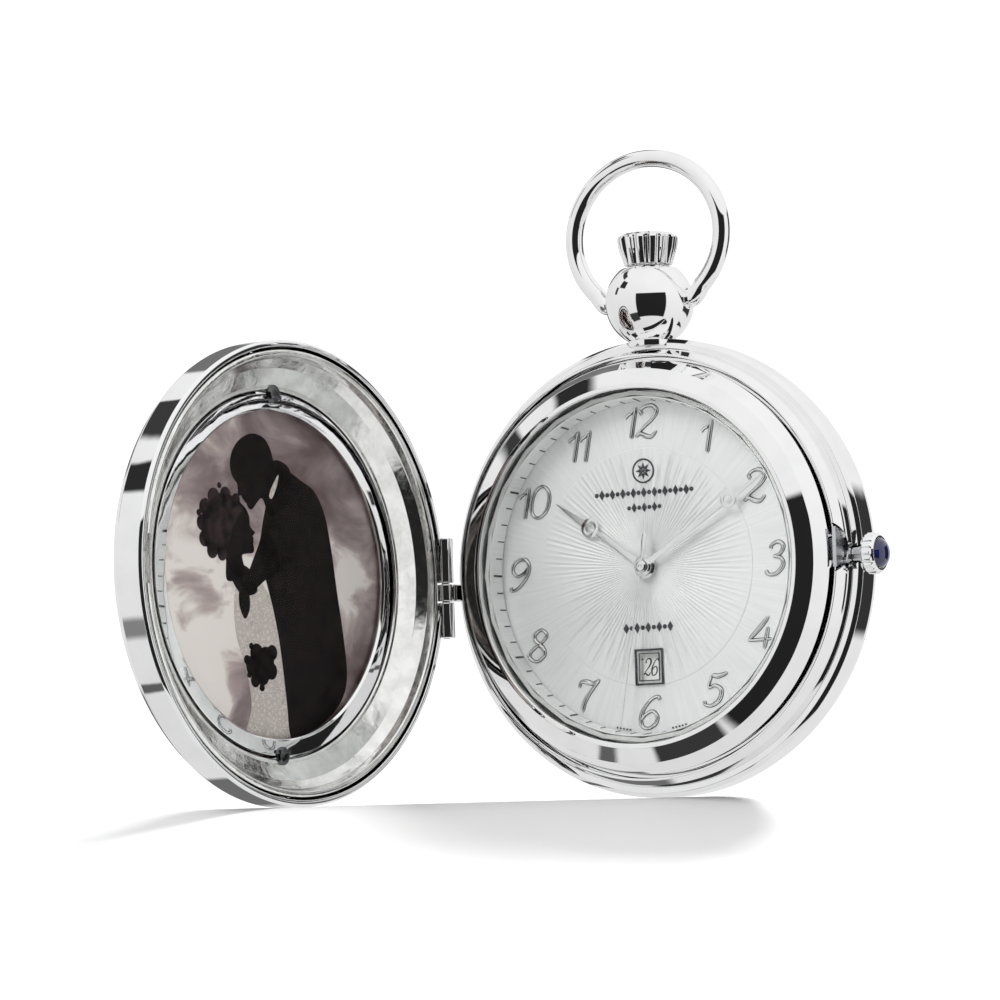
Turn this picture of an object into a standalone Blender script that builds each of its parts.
"""Quartz pocket watch in a hunter case with a picture frame in its hinged lid.

Run with blender --background --python part.py, or from Blender's text editor.

The scene is in metres with +Z up. The watch stands on the band of its case: 12 o'clock is up (+Z),
the dial faces -Y, and the setting crown points to +X. The origin is the middle of the band's foot.

Sizes below are in millimetres. Case and movement are laid out in the face frame, an empty on the
dial's axis: x runs to 3 o'clock, y to 12 o'clock, and z, called height here, towards the viewer.
Height 0 is the level of the winding stem. The lid has a frame of its own on the hinge's axis.
"""

import math

import bmesh
import bpy
from mathutils import Matrix

MM = 0.001

# Driving dimensions, in millimetres and degrees.
CASE_RADIUS = 24.0
ROUND_STEPS = 42  # 4 m + 2 steps put the middle of a facet at the bottom of each large ring
SMALL_STEPS = 16
LID_OPEN = 98.0
HINGE_X = -23.85
HINGE_HEIGHT = 3.45
HINGE_TOP, KNUCKLE_TOP, KNUCKLE_BOTTOM, HINGE_BOTTOM = 4.4, -0.5, -2.3, -6.2
KNUCKLE_RADIUS = 0.9
HINGE_PIN_RADIUS = 0.4
HINGE_BORE_RADIUS = 0.52
KNUCKLE_GAP = 0.15
BALL_RISE = 27.8  # from the dial's axis up to the centre of the pendant ball
BALL_RADIUS = 4.65
BUTTON_WELL = (2.8, 2.95)  # radius and floor of the hollow that the push crown sinks into
BOW_RISE = 7.1  # from the ball's centre up to the middle of the bow
BOW_HALF_WIDTH, BOW_HALF_HEIGHT = 8.75, 8.15
BOW_WIRE_RADIUS = 0.95
DIAL_HEIGHT = 2.63
DIAL_RADIUS = 18.8
CRYSTAL_RADIUS = 18.3
MINUTE_ANGLE, HOUR_ANGLE, SECOND_ANGLE = 58.5, 304.9, 190.0  # clockwise from 12 o'clock
CENTRE_RISE = CASE_RADIUS * math.cos(math.pi / ROUND_STEPS)  # the bottom facets lie on z = 0

for old in list(bpy.data.objects):
    bpy.data.objects.remove(old)

watch = bpy.data.collections.new("pocket_watch")
helpers = bpy.data.collections.new("cutters")
for made in (watch, helpers):
    bpy.context.scene.collection.children.link(made)


def material(name, colour, roughness, metallic):
    made = bpy.data.materials.new(name)
    made.use_nodes = True
    shader = made.node_tree.nodes["Principled BSDF"]
    shader.inputs["Base Color"].default_value = (*colour, 1.0)
    shader.inputs["Roughness"].default_value = roughness
    shader.inputs["Metallic"].default_value = metallic
    return made


CHROME = ((0.83, 0.83, 0.85), 0.06, 1.0)
SATIN = ((0.66, 0.66, 0.62), 0.35, 1.0)
STEEL = ((0.60, 0.61, 0.63), 0.28, 1.0)
BRASS = ((0.78, 0.62, 0.30), 0.30, 1.0)
COPPER = ((0.72, 0.38, 0.20), 0.35, 1.0)
SILVER = ((0.88, 0.88, 0.86), 0.40, 0.6)
CRYSTAL = ((0.95, 0.97, 0.98), 0.02, 0.0)
SAPPHIRE = ((0.01, 0.01, 0.08), 0.05, 0.0)
RUBBER = ((0.03, 0.03, 0.03), 0.60, 0.0)
RESIN = ((0.08, 0.08, 0.09), 0.45, 0.0)
BOARD = ((0.05, 0.25, 0.12), 0.40, 0.0)
PAPER = ((0.55, 0.50, 0.52), 0.50, 0.0)


def empty(name, place, rotation):
    made = bpy.data.objects.new(name, None)
    made.location = [c * MM for c in place]
    made.rotation_euler = [math.radians(a) for a in rotation]
    watch.objects.link(made)
    return made


face = empty("face_frame", (0, 0, CENTRE_RISE), (90, 0, 0))
pendant = empty("pendant_frame", (0, 0, CENTRE_RISE + BALL_RISE), (0, 0, 0))
lid = empty("lid_frame", (HINGE_X, -HINGE_HEIGHT, CENTRE_RISE), (90, 0, -LID_OPEN))
LID_CENTRE = -HINGE_X  # the lid's own axis, from the hinge's axis


def placed(name, mesh, look, parent, place=(0, 0, 0), rotation=(0, 0, 0)):
    """A part when it has a look, or else a helper that joins or cuts another."""
    made = bpy.data.objects.new(name, mesh)
    made.parent = parent
    made.location = [c * MM for c in place]
    made.rotation_euler = [math.radians(a) for a in rotation]
    if look:
        mesh.materials.append(material(name, *look))
        watch.objects.link(made)
    else:
        made.hide_render = True
        made.display_type = "WIRE"
        helpers.objects.link(made)
    return made


def clockwise(outline):
    """The outline of a turned piece, ordered so that it runs down its outer side."""
    area = sum(
        a[0] * b[1] - b[0] * a[1] for a, b in zip(outline, outline[1:] + outline[:1])
    )
    return outline if area < 0 else outline[::-1]


def turned(name, outline, look, parent, place=(0, 0, 0), rotation=(0, 0, 0), steps=ROUND_STEPS):
    """A piece turned about its own z axis from (radius, height) points.

    A ring's outline is closed. A solid's begins and ends on the axis.
    """
    points = clockwise(list(outline))
    on_axis = [i for i, p in enumerate(points) if p[0] == 0]
    if on_axis:
        first = next(i for i in on_axis if points[i - 1][0] == 0)
        points = points[first:] + points[:first]
    mesh = bpy.data.meshes.new(name)
    edges = [(i, i + 1) for i in range(len(points) - 1)]
    if not on_axis:
        edges.append((len(points) - 1, 0))
    mesh.from_pydata([(r * MM, 0, h * MM) for r, h in points], edges, [])
    made = placed(name, mesh, look, parent, place, rotation)
    screw = made.modifiers.new("turn", "SCREW")
    screw.axis = "Z"
    screw.steps = screw.render_steps = steps
    screw.use_merge_vertices = True
    screw.merge_threshold = 1e-6
    screw.use_smooth_shade = True
    return made


def circle(radius, x=0.0, y=0.0, count=SMALL_STEPS):
    return [
        (x + radius * math.cos(t), y + radius * math.sin(t))
        for t in (2 * math.pi * (i + 0.5) / count for i in range(count))
    ]


def rectangle(x0, y0, x1, y1):
    return [(x0, y0), (x1, y0), (x1, y1), (x0, y1)]


def sector(inner, outer, start, end, count=12):
    """A strip bent along a circle, from one angle to another in degrees."""
    turns = [math.radians(start + (end - start) * i / count) for i in range(count + 1)]
    outside = [(outer * math.cos(t), outer * math.sin(t)) for t in turns]
    return outside + [(inner * math.cos(t), inner * math.sin(t)) for t in reversed(turns)]


def toothed(teeth, module, towards, gap=False):
    """A wheel's outline. A tooth, or a gap, lies in the direction of its mate, in degrees."""
    pitch = 2 * math.pi / teeth
    start = math.radians(towards) + (pitch / 2 if gap else 0)
    root, tip = module * (teeth / 2 - 0.95), module * (teeth / 2 + 0.7)
    points = []
    for i in range(teeth):
        middle = start + i * pitch
        for radius, turn in ((root, -0.27 * pitch), (tip, 0), (root, 0.27 * pitch)):
            points.append((radius * math.cos(middle + turn), radius * math.sin(middle + turn)))
    return points


def slab(outlines, bottom, top):
    """The mesh of a flat piece with these outlines, the later ones being holes in the first."""
    curve = bpy.data.curves.new("slab", "CURVE")
    curve.dimensions = "2D"
    curve.fill_mode = "BOTH"
    curve.extrude = (top - bottom) / 2 * MM
    for outline in outlines:
        spline = curve.splines.new("POLY")
        spline.points.add(len(outline) - 1)
        for point, (x, y) in zip(spline.points, outline):
            point.co = (x * MM, y * MM, 0, 1)
        spline.use_cyclic_u = True
    source = bpy.data.objects.new("slab", curve)
    bpy.context.scene.collection.objects.link(source)
    graph = bpy.context.evaluated_depsgraph_get()
    mesh = bpy.data.meshes.new_from_object(source.evaluated_get(graph))
    bpy.data.objects.remove(source)
    shape = bmesh.new()
    shape.from_mesh(mesh)
    bmesh.ops.remove_doubles(shape, verts=shape.verts, dist=1e-7)
    bmesh.ops.translate(shape, verts=shape.verts, vec=(0, 0, (top + bottom) / 2 * MM))
    bmesh.ops.recalc_face_normals(shape, faces=shape.faces)
    shape.to_mesh(mesh)
    shape.free()
    return mesh


def flat(name, outlines, bottom, top, look, parent, place=(0, 0, 0), rotation=(0, 0, 0)):
    mesh = slab(outlines, bottom, top)
    mesh.name = name
    return placed(name, mesh, look, parent, place, rotation)


def rod(name, radius, start, end, look, parent, place=(0, 0, 0), rotation=(0, 0, 0),
        steps=SMALL_STEPS):
    """A round bar along its own z axis."""
    shape = bmesh.new()
    middle = Matrix.Translation((0, 0, (start + end) / 2 * MM))
    bmesh.ops.create_cone(
        shape, cap_ends=True, segments=steps, radius1=radius * MM, radius2=radius * MM,
        depth=(end - start) * MM, matrix=middle,
    )
    mesh = bpy.data.meshes.new(name)
    shape.to_mesh(mesh)
    shape.free()
    return placed(name, mesh, look, parent, place, rotation)


def block(name, low, high, look, parent):
    shape = bmesh.new()
    size = [(b - a) * MM for a, b in zip(low, high)]
    middle = [(a + b) / 2 * MM for a, b in zip(low, high)]
    bmesh.ops.create_cube(
        shape, size=1.0, matrix=Matrix.Translation(middle) @ Matrix.Diagonal((*size, 1.0))
    )
    mesh = bpy.data.meshes.new(name)
    shape.to_mesh(mesh)
    shape.free()
    return placed(name, mesh, look, parent)


def boolean(piece, operation, others):
    for other in others:
        step = piece.modifiers.new(other.name, "BOOLEAN")
        step.operation = operation
        step.solver = "EXACT"
        step.object = other


def join(piece, *others):
    boolean(piece, "UNION", others)


def cut(piece, *others):
    boolean(piece, "DIFFERENCE", others)


def wire(name, path, radius, look, parent, radii=None, sides=8):
    """A round wire along a path, which may change in thickness on the way."""
    curve = bpy.data.curves.new(name, "CURVE")
    curve.dimensions = "3D"
    curve.bevel_depth = radius * MM
    curve.bevel_resolution = sides // 2 - 2
    curve.use_fill_caps = True
    spline = curve.splines.new("POLY")
    spline.points.add(len(path) - 1)
    for i, (point, place) in enumerate(zip(spline.points, path)):
        point.co = (*[c * MM for c in place], 1)
        point.radius = radii[i] / radius if radii else 1.0
    spline.use_smooth = True
    return placed(name, curve, look, parent)


def away(distance, direction, start=(0.0, 0.0)):
    """The point at this distance and direction in degrees, counted from 3 o'clock to 12."""
    turn = math.radians(direction)
    return start[0] + distance * math.cos(turn), start[1] + distance * math.sin(turn)


# Arbors stand half of both wheels' teeth apart, times their module.
MINUTE_WHEEL_AT = away((10 + 30) / 2 * 0.18, 240)
DATE_DRIVER_AT = away((16 + 32) / 2 * 0.2, 60)
THIRD_WHEEL_AT = away((6 + 36) / 2 * 0.2, 200)
INTERMEDIATE_AT = away((30 + 6) / 2 * 0.16, 100)
ROTOR_AT = away((36 + 6) / 2 * 0.12, 60, INTERMEDIATE_AT)

ALONG_X = (0, 90, 0)  # turns a piece's own z axis to the face frame's x axis
ALONG_UP = (-90, 0, 0)  # turns a piece's own z axis to the face frame's y axis


def case():
    """The band with its shoulder, which the lid closes on, and the rings and covers it holds."""
    middle = turned("case_middle", [
        (21.95, 3.15), (22.25, 3.1), (22.75, 1.9), (22.93, 0.7), (23.6, 0.7),
        (CASE_RADIUS, 0.5), (CASE_RADIUS, -2.1), (23.7, -3.2), (22.6, -4.2), (21.3, -4.2),
        (21.3, -3.0), (19.7, -3.0), (19.7, -0.9), (21.2, -0.9), (21.2, 1.5), (21.95, 1.5),
    ], CHROME, face)
    knuckle = rod("case_knuckle", KNUCKLE_RADIUS, KNUCKLE_BOTTOM, KNUCKLE_TOP, None, face,
                  (HINGE_X, 0, HINGE_HEIGHT), ALONG_UP)
    lug = block("hinge_lug", (-24.35, KNUCKLE_BOTTOM, 0.2),
                (-22.5, KNUCKLE_TOP, HINGE_HEIGHT - 0.3), None, face)
    hinge_bore = rod("case_hinge_bore", HINGE_BORE_RADIUS, HINGE_BOTTOM - 1, HINGE_TOP + 1, None,
                     face, (HINGE_X, 0, HINGE_HEIGHT), ALONG_UP, steps=12)
    notch = rod("catch_notch", 2.6, 21.3, 23.6, None, face, (0, 0.7, 3.95), ALONG_X)
    slot = block("catch_slot", (20.5, -0.6, 0.9), (22.65, 2.0, 1.9), None, face)
    tube_hole = rod("crown_tube_hole", 1.12, 19.0, 25.0, None, face, (0, 0, 0), ALONG_X)
    button_hole = rod("button_hole", 0.75, 18.5, 25.0, None, face, (0, 0, 0), ALONG_UP)
    pendant_seat = rod("pendant_seat", 2.6, 22.85, 26.0, None, face, (0, 0, 0), ALONG_UP)
    join(middle, knuckle, lug)
    cut(middle, hinge_bore, notch, slot, tube_hole, button_hole, pendant_seat)

    turned("case_back", [
        (0, -6.6), (9.0, -6.6), (15.5, -6.3), (20.0, -5.6), (22.5, -4.5), (21.0, -4.5),
        (21.0, -3.45), (19.9, -3.45), (19.9, -5.0), (15.0, -5.7), (0, -5.9),
    ], CHROME, face)
    turned("case_back_gasket", [(20.1, -3.35), (20.9, -3.35), (20.9, -3.1), (20.1, -3.1)],
           RUBBER, face, steps=24)
    turned("bezel", [
        (18.6, 5.88), (19.25, 5.7), (20.11, 4.83), (21.55, 4.2),
        (21.6, 1.8), (21.0, 1.8), (21.0, 3.5), (17.75, 3.5), (17.75, 4.05), (18.6, 4.05),
    ], CHROME, face)
    turned("crystal", [(0, 5.9), (17.9, 5.9), (CRYSTAL_RADIUS, 5.6), (CRYSTAL_RADIUS, 4.85),
                       (0, 4.85)], CRYSTAL, face)
    turned("crystal_gasket", [(17.8, 4.7), (18.25, 4.7), (18.25, 4.2), (17.8, 4.2)],
           RUBBER, face, steps=24)
    turned("rehaut_ring", [(17.5, 4.75), (17.6, 4.75), (17.6, 3.35), (18.8, 3.35), (18.8, 2.75),
                           (17.25, 2.75)], SILVER, face)
    turned("crown_tube", [(0.62, 24.1), (1.0, 24.1), (1.0, 19.85), (0.62, 19.85)],
           STEEL, face, (0, 0, 0), ALONG_X, steps=12)
    rod("hinge_pin", HINGE_PIN_RADIUS, HINGE_BOTTOM - 0.05, HINGE_TOP + 0.05, STEEL, face,
        (HINGE_X, 0, HINGE_HEIGHT), ALONG_UP, steps=12)


def case_springs():
    """The lock spring that holds the catch, and the lift spring that throws the lid open."""
    lock = flat("lock_spring", [sector(19.85, 20.15, 5, 100, 18)], 0.3, 1.2, STEEL, face)
    eye = flat("lock_spring_eye", [sector(19.85, 21.1, 99, 107, 3)], 0.3, 1.2, None, face)
    screw_x, screw_y = (20.5 * math.cos(math.radians(103)), 20.5 * math.sin(math.radians(103)))
    join(lock, eye)
    cut(lock, rod("lock_spring_hole", 0.4, 0.0, 1.4, None, face, (screw_x, screw_y, 0), steps=12))
    turned("lock_spring_screw", [(0, -0.6), (0.3, -0.6), (0.3, 1.25), (0.52, 1.25), (0.52, 1.45),
                                 (0, 1.45)], STEEL, face, (screw_x, screw_y, 0), steps=12)
    flat("lid_lift_spring", [sector(20.15, 20.45, 140, 222, 14)], -0.6, 0.6, STEEL, face)
    catch = flat("lid_catch", [rectangle(20.75, -0.3, 22.4, 1.7)], 1.1, 1.45, STEEL, face)
    nib_arc = [
        (0.7 + 2.1 * math.cos(t), 3.95 + 2.1 * math.sin(t))
        for t in (math.pi + 0.2 + i * (math.pi - 0.4) / 10 for i in range(11))
    ]
    nib = placed("catch_nib", slab([nib_arc], 22.0, 22.4), None, face)
    # the nib is drawn in the plane of the band's wall: its x is up and its y the height
    nib.matrix_local = Matrix(((0, 0, 1, 0), (1, 0, 0, 0), (0, 1, 0, 0), (0, 0, 0, 1)))
    riser = block("catch_riser", (22.0, -0.3, 1.2), (22.4, 1.7, 3.0), None, face)
    join(catch, nib, riser)


def pendant_and_bow():
    """The pendant ball with the push crown's spring inside, the push crown and the swinging bow."""
    well_radius, well_floor = BUTTON_WELL
    spring_room = 2.2
    top_angle = math.acos(well_radius / BALL_RADIUS)
    neck_radius = 2.3
    neck_angle = -math.acos(neck_radius / BALL_RADIUS)
    arc = [
        (BALL_RADIUS * math.cos(a), BALL_RADIUS * math.sin(a))
        for a in (top_angle + (neck_angle - top_angle) * i / 8 for i in range(9))
    ]
    ball = turned("pendant_ball", [
        (spring_room, well_floor), (well_radius, well_floor), *arc, (neck_radius, -4.75),
        (0.75, -4.75), (0.75, -1.6), (spring_room, -1.6),
    ], CHROME, pendant, steps=26)
    for side, turn in (("right", 90), ("left", -90)):
        cut(ball, rod(f"bow_hole_{side}", 0.62, 3.0, 5.0, None, pendant, (0, 0, 0), (0, turn, 0)))

    limb = [(3.15, 0.0), (4.76, 0.0), (4.88, 0.0), (5.15, 0.05), (5.5, 0.3), (5.85, 0.78)]
    limb_radii = [0.5, 0.5, 0.93, 0.93, 0.95, 0.95]
    start = math.asin(6.2 / BOW_HALF_WIDTH)
    turns = [start + (2 * math.pi - 2 * start) * i / 26 for i in range(27)]
    ring = [
        (BOW_HALF_WIDTH * math.sin(t), 0, BOW_RISE - BOW_HALF_HEIGHT * math.cos(t)) for t in turns
    ]
    path = [(x, 0, z) for x, z in limb] + ring + [(-x, 0, z) for x, z in reversed(limb)]
    radii = limb_radii + [BOW_WIRE_RADIUS] * len(ring) + limb_radii[::-1]
    wire("bow", path, BOW_WIRE_RADIUS, CHROME, pendant, radii)

    coils, per_coil, spring_bottom, spring_top = 4, 8, -1.35, 1.9
    count = coils * per_coil
    helix = [
        (1.5 * math.cos(2 * math.pi * i / per_coil), 1.5 * math.sin(2 * math.pi * i / per_coil),
         spring_bottom + (spring_top - spring_bottom) * i / count)
        for i in range(count + 1)
    ]
    wire("button_spring", helix, 0.17, STEEL, pendant, sides=4)

    flutes, base_radius, top_radius, low, high = 14, 2.5, 3.25, 3.85, 6.95
    ring_points = []
    for i in range(flutes):
        middle = 2 * math.pi * i / flutes
        for depth, turn in ((1.0, -0.1), (1.0, 0.1), (0.9, 0.14), (0.9, 0.2)):
            angle = middle + turn * 2 * math.pi / flutes * 1.25
            ring_points.append((depth * top_radius * math.cos(angle),
                                depth * top_radius * math.sin(angle)))
    fluted = slab([ring_points], low, high)
    for vertex in fluted.vertices:
        share = (vertex.co.z / MM - low) / (high - low)
        shrink = (base_radius + (top_radius - base_radius) * share) / top_radius
        vertex.co.x *= shrink
        vertex.co.y *= shrink
    crown = placed("push_crown", fluted, CHROME, pendant)
    dome = turned("push_crown_dome", [(0, 7.55), (1.6, 7.42), (2.8, 7.0), (2.8, 6.6), (0, 6.6)],
                  None, pendant, steps=24)
    collar = rod("push_crown_collar", 1.9, 2.15, 4.3, None, pendant)
    stem_hole = rod("push_crown_bore", 0.6, 2.0, 5.6, None, pendant)
    join(crown, dome, collar)
    cut(crown, stem_hole)
    rod("push_stem", 0.45, -BALL_RISE + 20.95, 5.35, STEEL, pendant, steps=16)


def dial_side():
    """The dial, its date window, and the wheels under it."""
    flat("dial", [circle(DIAL_RADIUS, count=60), circle(0.95), rectangle(-1.15, -11.8, 1.15, -9.0)],
         2.23, DIAL_HEIGHT, SILVER, face)
    flat("date_window_frame", [rectangle(-1.65, -12.28, 1.65, -8.52),
                               rectangle(-1.25, -11.88, 1.25, -8.92)], 2.7, 2.86, STEEL, face)
    ring = turned("movement_ring", [(13.25, 2.1), (19.3, 2.1), (19.3, -2.8), (13.25, -2.8)],
                  RESIN, face, steps=36)
    cut(ring, rod("stem_channel", 0.95, 12.5, 20.0, None, face, (0, 0, 0), ALONG_X))

    flat("date_ring", [circle(12.2, count=31), toothed(31, 0.567, -90, gap=True)],
         1.7, 1.95, SILVER, face)
    flat("date_jumper", [sector(7.3, 7.55, 120, 158, 8)], 1.65, 1.95, STEEL, face)

    train(
        "cannon_pinion", (0, 0), [(10, 0.18, 240, False, 1.2, 1.4)],
        arbor=(0.42, 0.55, 3.6), bore=0.2, look=STEEL,
    )
    train(
        "hour_wheel", (0, 0),
        [(32, 0.18, 240, True, 1.55, 1.75), (16, 0.2, 60, False, 1.85, 2.0)],
        arbor=(0.72, 1.5, 3.16), bore=0.5, look=BRASS,
    )
    train(
        "minute_wheel", MINUTE_WHEEL_AT,
        [(30, 0.18, 60, True, 1.2, 1.4), (8, 0.18, 60, False, 1.55, 1.75)],
        arbor=(0.3, 1.12, 1.95), look=BRASS,
    )
    train("date_driving_wheel", DATE_DRIVER_AT, [(32, 0.2, 240, True, 1.85, 2.0)],
          arbor=(0.4, 1.15, 2.1), look=BRASS)


def train(name, centre, wheels, arbor, look, bore=None):
    """A shaft with toothed wheels on it, standing at its centre in the face frame.

    Each wheel is (teeth, module, direction of its mate, gap or tooth there, bottom, top), and the
    arbor is (radius, bottom, top).
    """
    place = (*centre, 0.0)
    radius, low, high = arbor
    teeth, module, towards, gap, bottom, top = wheels[0]
    piece = flat(name, [toothed(teeth, module, towards, gap)], bottom, top, look, face, place)
    for i, (teeth, module, towards, gap, bottom, top) in enumerate(wheels[1:]):
        other = slab([toothed(teeth, module, towards, gap)], bottom, top)
        join(piece, placed(f"{name}_level_{i + 2}", other, None, face, place))
    join(piece, rod(f"{name}_arbor", radius, low, high, None, face, place, steps=10))
    if len(wheels) > 1:
        between = sorted(wheel[-2:] for wheel in wheels)
        join(piece, rod(f"{name}_hub", radius * 1.25, between[0][0] + 0.02, between[-1][1] - 0.02,
                        None, face, place, steps=8))
    if bore:
        cut(piece, rod(f"{name}_bore", bore, low - 1, high + 1, None, face, place, steps=10))
    return piece


def hands():
    """Open-ring hands, drawn pointing to 12 o'clock and turned to the time shown."""
    def pointed(length, ring_at, ring_outer, ring_inner, base, tip, hub):
        shaft = [(-base / 2, 0), (-base / 2 * 0.7, ring_at - ring_outer + 0.1),
                 (base / 2 * 0.7, ring_at - ring_outer + 0.1), (base / 2, 0)]
        end = [(-tip, ring_at + ring_outer - 0.1), (-0.06, length), (0.06, length),
               (tip, ring_at + ring_outer - 0.1)]
        ring = [circle(ring_outer, 0, ring_at, 20), circle(ring_inner, 0, ring_at, 20)]
        return shaft, end, ring, hub

    def hand(name, angle, bottom, top, hole, shapes):
        shaft, end, ring, hub = shapes
        turn = (0, 0, -angle)
        piece = flat(name, [circle(hub, count=20)], bottom, top, STEEL, face, (0, 0, 0), turn)
        for part, outlines in (("shaft", [shaft]), ("ring", ring), ("end", [end])):
            join(piece, placed(f"{name}_{part}", slab(outlines, bottom, top), None, face,
                               (0, 0, 0), turn))
        cut(piece, rod(f"{name}_hole", hole, bottom - 1, top + 1, None, face, (0, 0, 0), turn))

    hand("hour_hand", HOUR_ANGLE, 2.95, 3.1, 0.78, pointed(12.5, 7.7, 1.0, 0.6, 0.55, 0.35, 1.25))
    hand("minute_hand", MINUTE_ANGLE, 3.4, 3.55, 0.48, pointed(16.7, 12.0, 0.85, 0.5, 0.5, 0.3, 1.0))
    second = flat("second_hand", [[(-0.14, -3.5), (-0.05, 16.8), (0.05, 16.8), (0.14, -3.5)]],
                  3.84, 3.94, STEEL, face, (0, 0, 0), (0, 0, -SECOND_ANGLE))
    join(second, rod("second_hand_hub", 0.62, 3.82, 4.05, None, face, steps=20))


def movement():
    """The quartz movement: plate, bridge, battery, coil and the seconds train."""
    plate = rod("main_plate", 13.0, 0.55, 1.05, BRASS, face, steps=40)
    stem_room = block("stem_room", (8.0, -1.5, 0.0), (14.0, 1.5, 2.0), None, face)
    cut(plate, rod("main_plate_hole", 0.56, 0.0, 2.0, None, face), stem_room)
    flat("train_bridge", [circle(6.3, -1.0, 1.2, 28)], -3.25, -2.9, STEEL, face)
    for i, (x, y) in enumerate(((-6.0, 1.6), (-2.0, 6.2), (3.4, 3.6))):
        turned(f"bridge_screw_{i + 1}", [(0, -3.55), (0.6, -3.55), (0.6, -3.3), (0, -3.3)], STEEL,
               face, (x, y, 0), steps=14)
    flat("circuit_board", [sector(8.6, 12.4, 150, 248, 14)], -2.6, -2.35, BOARD, face)
    flat("stator", [
        [(-1.4, 3.6), (8.7, 3.6), (8.7, 9.3), (7.4, 9.3), (7.4, 6.4), (0.1, 6.4), (0.1, 9.3),
         (-1.4, 9.3)],
        circle(1.2, *ROTOR_AT, 20),
    ], -2.15, -1.85, STEEL, face)
    rod("coil", 0.95, 0.45, 7.05, COPPER, face, (0, 8.35, -1.9), ALONG_X, steps=20)
    rod("quartz_can", 0.75, -3.0, 3.0, STEEL, face, (-8.6, 5.2, -1.5), (90, 0, 60), steps=18)
    rod("battery", 4.0, -2.9, -0.8, STEEL, face, (3.8, -7.0, 0), steps=40)
    flat("battery_clamp", [[(-1.6, -5.6), (9.0, -9.4), (9.6, -8.0), (-1.0, -4.2)]], -3.55, -3.35,
         STEEL, face)

    train("center_wheel", (0, 0), [(60, 0.12727, 200, True, 0.1, 0.3)],
          arbor=(0.4, -0.02, 0.44), bore=0.2, look=BRASS)
    train("third_wheel", THIRD_WHEEL_AT,
          [(36, 0.2, 20, True, -0.35, -0.15), (6, 0.12727, 20, False, 0.1, 0.3)],
          arbor=(0.2, -2.8, 0.42), look=BRASS)
    train("second_wheel", (0, 0),
          [(30, 0.16, 100, True, -0.9, -0.7), (6, 0.2, 200, False, -0.35, -0.15)],
          arbor=(0.12, -2.8, 3.76), look=BRASS)
    train("intermediate_wheel", INTERMEDIATE_AT,
          [(36, 0.12, 60, True, -1.45, -1.25), (6, 0.16, -80, False, -0.9, -0.7)],
          arbor=(0.15, -2.8, -0.5), look=BRASS)
    rotor = train("rotor", ROTOR_AT, [(6, 0.12, 240, False, -1.45, -1.25)],
                  arbor=(0.15, -2.8, -1.1), look=STEEL)
    join(rotor, rod("rotor_magnet", 0.9, -2.3, -1.7, None, face, (*ROTOR_AT, 0), steps=20))


def setting_work():
    """The setting crown on its stem, with the lever, yoke and pinion that the pull moves."""
    flutes = 14
    outline = []
    for i in range(flutes):
        for depth, turn in ((2.15, 0.0), (2.15, 0.5), (1.95, 0.6), (1.95, 0.9)):
            angle = 2 * math.pi * (i + turn) / flutes
            outline.append((depth * math.cos(angle), depth * math.sin(angle)))
    crown = flat("setting_crown", [outline], 24.3, 25.5, CHROME, face, (0, 0, 0), ALONG_X)
    cup = turned("crown_cup", [(0, 25.3), (1.85, 25.3), (1.75, 25.72), (0, 25.72)], None, face,
                 (0, 0, 0), ALONG_X)
    join(crown, cup)
    cut(crown, rod("crown_stem_hole", 0.6, 24.0, 24.95, None, face, (0, 0, 0), ALONG_X, steps=16),
        rod("cabochon_seat", 1.58, 25.55, 26.5, None, face, (0, 0, 0), ALONG_X))
    turned("cabochon", [(0, 25.62), (1.5, 25.62), (1.5, 25.85), (1.1, 26.25), (0.55, 26.45),
                        (0, 26.5)], SAPPHIRE, face, (0, 0, 0), ALONG_X, steps=16)
    rod("stem", 0.45, 8.3, 24.85, STEEL, face, (0, 0, 0), ALONG_X, steps=16)
    turned("crown_seal", [(0.49, 22.5), (0.58, 22.5), (0.58, 22.0), (0.49, 22.0)], RUBBER, face,
           (0, 0, 0), ALONG_X, steps=16)
    flat("sliding_pinion", [toothed(10, 0.2, 0), circle(0.55, count=16)], 9.4, 10.6, STEEL, face,
         (0, 0, 0), ALONG_X)
    flat("setting_lever", [[(-0.9, -0.6), (0.9, -0.6), (0.5, 3.6), (-0.5, 3.6)], circle(0.3, 0, 0, 12)],
         -0.85, -0.62, STEEL, face, (11.6, -3.4, 0))
    flat("yoke", [[(-0.45, -3.0), (0.45, -3.0), (0.7, 0.6), (-0.7, 0.6)], circle(0.3, 0, 0, 12)],
         -1.6, -1.35, STEEL, face, (10.0, 3.0, 0))


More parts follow.
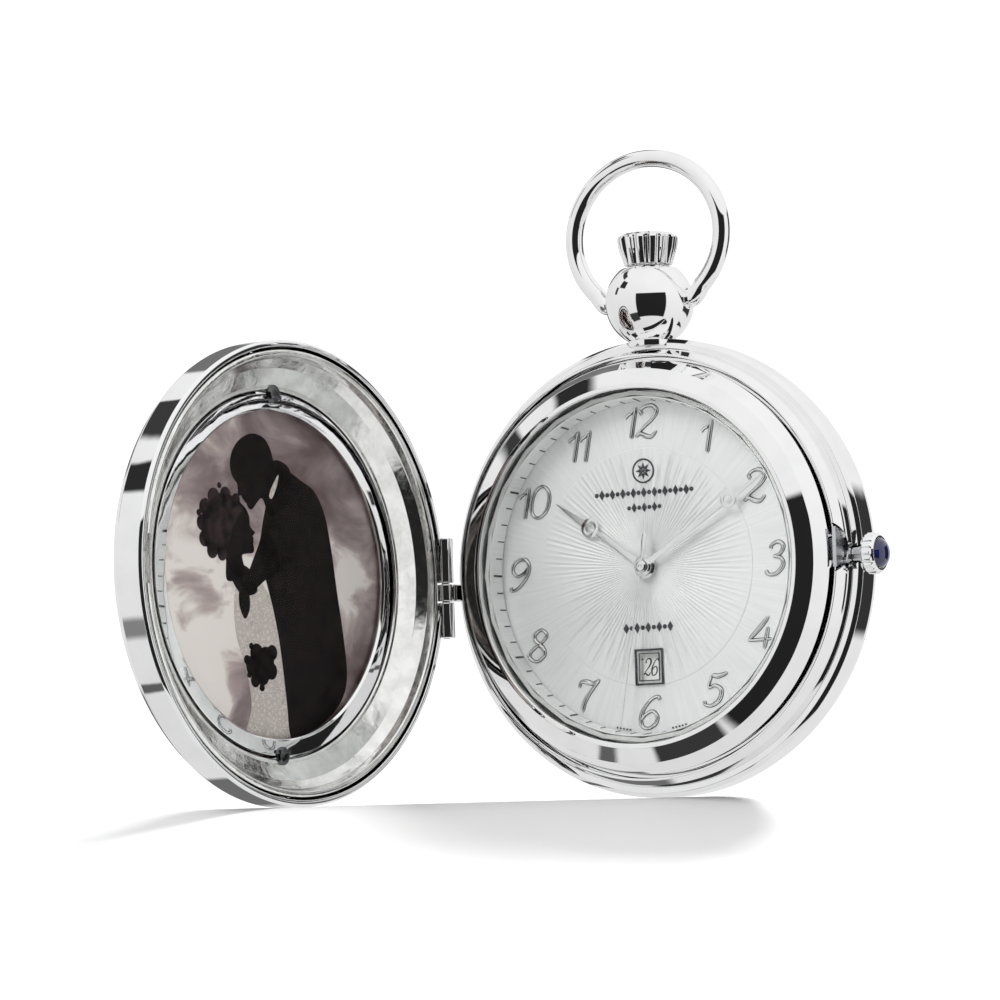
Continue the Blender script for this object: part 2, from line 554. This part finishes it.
def lid_parts():
    """The lid in its own frame on the hinge's axis: heights are from its rim, away from the dial."""
    at = (LID_CENTRE, 0, 0)
    shell = turned("lid_shell", [
        (23.3, 0.0), (23.75, 0.0), (CASE_RADIUS, 0.25), (CASE_RADIUS, 3.2), (23.3, 4.25),
        (20.5, 5.0), (14.0, 5.6), (0, 5.85), (0, 5.2), (14.0, 4.9), (20.3, 4.35), (22.7, 3.8),
        (23.3, 3.1),
    ], CHROME, lid, at)
    for label, low, high in (("upper", KNUCKLE_TOP + KNUCKLE_GAP, HINGE_TOP),
                             ("lower", HINGE_BOTTOM, KNUCKLE_BOTTOM - KNUCKLE_GAP)):
        knuckle = rod(f"{label}_knuckle", KNUCKLE_RADIUS, low, high, None, lid, (0, 0, 0), ALONG_UP)
        leaf = block(f"{label}_leaf", (-0.1, low, -0.3), (0.62, high, 0.9), None, lid)
        join(shell, knuckle, leaf)
    clearance = rod("knuckle_clearance", KNUCKLE_RADIUS + 0.25, KNUCKLE_BOTTOM - KNUCKLE_GAP,
                    KNUCKLE_TOP + KNUCKLE_GAP, None, lid, (0, 0, 0), ALONG_UP)
    bore = rod("lid_hinge_bore", HINGE_BORE_RADIUS, HINGE_BOTTOM - 1, HINGE_TOP + 1, None, lid,
               (0, 0, 0), ALONG_UP, steps=12)
    cut(shell, clearance, bore)

    liner = turned("lid_liner", [
        (22.3, 0.1), (22.98, 0.1), (22.98, 0.9), (21.7, 2.5), (19.55, 3.4), (19.55, 3.9),
        (18.95, 3.9), (18.95, 2.85), (19.4, 2.8), (21.2, 1.85), (22.05, 1.0),
    ], SATIN, lid, at)
    knuckle_room = block("liner_knuckle_room", (0.4, HINGE_BOTTOM - 0.2, -1),
                         (1.3, HINGE_TOP + 0.2, 0.6), None, lid)
    catch_room = block("liner_catch_room", (2 * LID_CENTRE - 2.3, -1.8, -1),
                       (2 * LID_CENTRE - 0.5, 3.2, 0.9), None, lid)
    cut(liner, knuckle_room, catch_room)
    turned("photo_ring", [(16.9, 2.95), (17.1, 2.85), (18.65, 2.85), (18.65, 3.3), (16.9, 3.3)],
           CHROME, lid, at, steps=36)
    turned("photo_window", [(0, 3.4), (18.2, 3.4), (18.2, 3.65), (0, 3.65)], CRYSTAL, lid, at,
           steps=36)
    turned("photo_print", [(0, 3.75), (18.2, 3.75), (18.2, 3.9), (0, 3.9)], PAPER, lid, at,
           steps=36)


case()
case_springs()
pendant_and_bow()
dial_side()
hands()
movement()
setting_work()
lid_parts()

for piece in watch.objects:
    if piece.type == "MESH":
        piece.data.shade_smooth()
        piece.data.set_sharp_from_angle(angle=math.radians(35))
